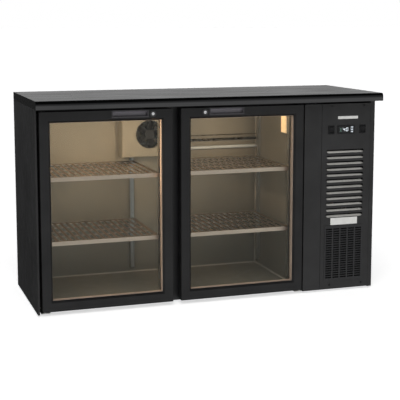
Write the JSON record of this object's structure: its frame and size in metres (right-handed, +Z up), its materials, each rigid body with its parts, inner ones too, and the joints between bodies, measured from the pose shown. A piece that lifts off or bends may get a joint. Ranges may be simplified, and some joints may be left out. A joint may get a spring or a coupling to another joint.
{
  "type": "under counter fridge",
  "caption": "Low bottle cooler with metal worktop, two hinged glass doors, slotted shelves and a louvred machine bay with controller and filter grille on the right.",
  "frame": {"origin": "centre of the whole footprint, worktop included, on the floor under the feet", "axes": "+Z up, -Y towards the user who faces the doors, +X towards the machine bay on the user's right"},
  "size_m": [1.468, 0.556, 0.85],
  "materials": {
    "body_paint": "dark grey fine-texture paint",
    "door_frame": "dark grey satin profile",
    "black_trim": "black satin plastic",
    "black_plastic": "black moulded plastic",
    "black_paint": "black gloss paint",
    "grey_plastic": "grey plastic",
    "galvanised": "zinc-coated sheet",
    "worktop_steel": "brushed along its length",
    "board": "chipboard core",
    "zinc": "bright zinc plate",
    "chrome": "polished",
    "aluminium": "mill finish",
    "copper": "copper tube",
    "liner": "off-white coated aluminium sheet",
    "shelf_coating": "off-white epoxy coating",
    "lamp_lens": "warm diffuser, lit",
    "bead": "beige glazing bead",
    "foam": "polyurethane foam",
    "glass": "clear float glass",
    "display": "smoked window",
    "pale_film": "blank film",
    "rubber": "black rubber"
  },
  "bodies": {
    "cabinet": {"side_panel_left": "body_paint", "side_panel_right": "body_paint", "back_panel": "galvanised", "base_pan": "galvanised", "rubber_feet": "rubber", "insulation": "foam", "inner_liner": "liner", "front_frame": "black_trim", "center_post": "black_trim", "machine_wall": "galvanised", "worktop_skin": "worktop_steel", "worktop_core": "board", "brackets": "zinc", "screws": "zinc", "shelves": "shelf_coating", "shelf_supports": "aluminium", "lamp_housings": "liner", "lamp_lenses": "lamp_lens", "evaporator_cover": "liner", "evaporator_coil": "aluminium", "evaporator_fan_motor": "black_plastic", "compressor": "black_paint", "condenser": "black_paint", "condenser_fan_motor": "galvanised", "refrigerant_pipes": "copper", "drain_tube": "grey_plastic", "machine_panel": "body_paint", "filter_grille": "black_plastic", "power_inlet": "black_plastic", "thermostat_case": "black_plastic", "thermostat_window": "display", "rocker_frames": "black_plastic", "blank_plates": "pale_film"},
    "door_left": {"door_frame_left": "door_frame", "grip_insert_left": "black_plastic", "glass_panes_left": "glass", "glass_spacer_left": "aluminium", "glazing_bead_left": "bead", "door_gasket_left": "rubber", "lock_barrel_left": "chrome", "closer_bar_left": "zinc"},
    "lock_left": {"lock_plug_left": "chrome", "lock_cam_left": "zinc"},
    "door_right": {"door_frame_right": "door_frame", "grip_insert_right": "black_plastic", "glass_panes_right": "glass", "glass_spacer_right": "aluminium", "glazing_bead_right": "bead", "door_gasket_right": "rubber", "lock_barrel_right": "chrome", "closer_bar_right": "zinc"},
    "lock_right": {"lock_plug_right": "chrome", "lock_cam_right": "zinc"},
    "evaporator_fan": {"evaporator_fan_rotor": "black_plastic"},
    "condenser_fan": {"condenser_fan_rotor": "black_plastic"},
    "key_set": {"button_set": "grey_plastic"},
    "key_up": {"button_up": "grey_plastic"},
    "key_down": {"button_down": "grey_plastic"},
    "switch_left": {"rocker_left": "black_plastic"},
    "switch_right": {"rocker_right": "black_plastic"}
  },
  "joints": [
    {"name": "door_left_swing", "type": "hinge", "parent": "cabinet", "child": "door_left", "pos_m": [-0.706, -0.225, 0.4], "axis": [0, 0, -1], "range_deg": [0, 100], "stiffness_Nm_per_rad": 0.8, "springref_deg": -17.19},
    {"name": "door_right_swing", "type": "hinge", "parent": "cabinet", "child": "door_right", "pos_m": [0.38, -0.225, 0.4], "axis": [0, 0, 1], "range_deg": [0, 100], "stiffness_Nm_per_rad": 0.8, "springref_deg": -17.19},
    {"name": "lock_left_turn", "type": "hinge", "parent": "door_left", "child": "lock_left", "pos_m": [-0.262, -0.225, 0.787], "axis": [0, -1, 0], "range_deg": [0, 90]},
    {"name": "lock_right_turn", "type": "hinge", "parent": "door_right", "child": "lock_right", "pos_m": [-0.044, -0.225, 0.787], "axis": [0, 1, 0], "range_deg": [0, 90]},
    {"name": "evaporator_fan_spin", "type": "hinge", "parent": "cabinet", "child": "evaporator_fan", "pos_m": [-0.163, 0.193, 0.66], "axis": [0, -1, 0], "continuous": true},
    {"name": "condenser_fan_spin", "type": "hinge", "parent": "cabinet", "child": "condenser_fan", "pos_m": [0.558, -0.083, 0.175], "axis": [0, -1, 0], "continuous": true},
    {"name": "key_set_press", "type": "slide", "parent": "cabinet", "child": "key_set", "axis": [0, 1, 0], "range_m": [0, 0.001], "stiffness_N_per_m": 300},
    {"name": "key_up_press", "type": "slide", "parent": "cabinet", "child": "key_up", "axis": [0, 1, 0], "range_m": [0, 0.001], "stiffness_N_per_m": 300},
    {"name": "key_down_press", "type": "slide", "parent": "cabinet", "child": "key_down", "axis": [0, 1, 0], "range_m": [0, 0.001], "stiffness_N_per_m": 300},
    {"name": "switch_left_rock", "type": "hinge", "parent": "cabinet", "child": "switch_left", "pos_m": [0.516, -0.229, 0.6965], "axis": [-1, 0, 0], "range_deg": [0, 16]},
    {"name": "switch_right_rock", "type": "hinge", "parent": "cabinet", "child": "switch_right", "pos_m": [0.662, -0.229, 0.6965], "axis": [-1, 0, 0], "range_deg": [0, 16]}
  ]
}
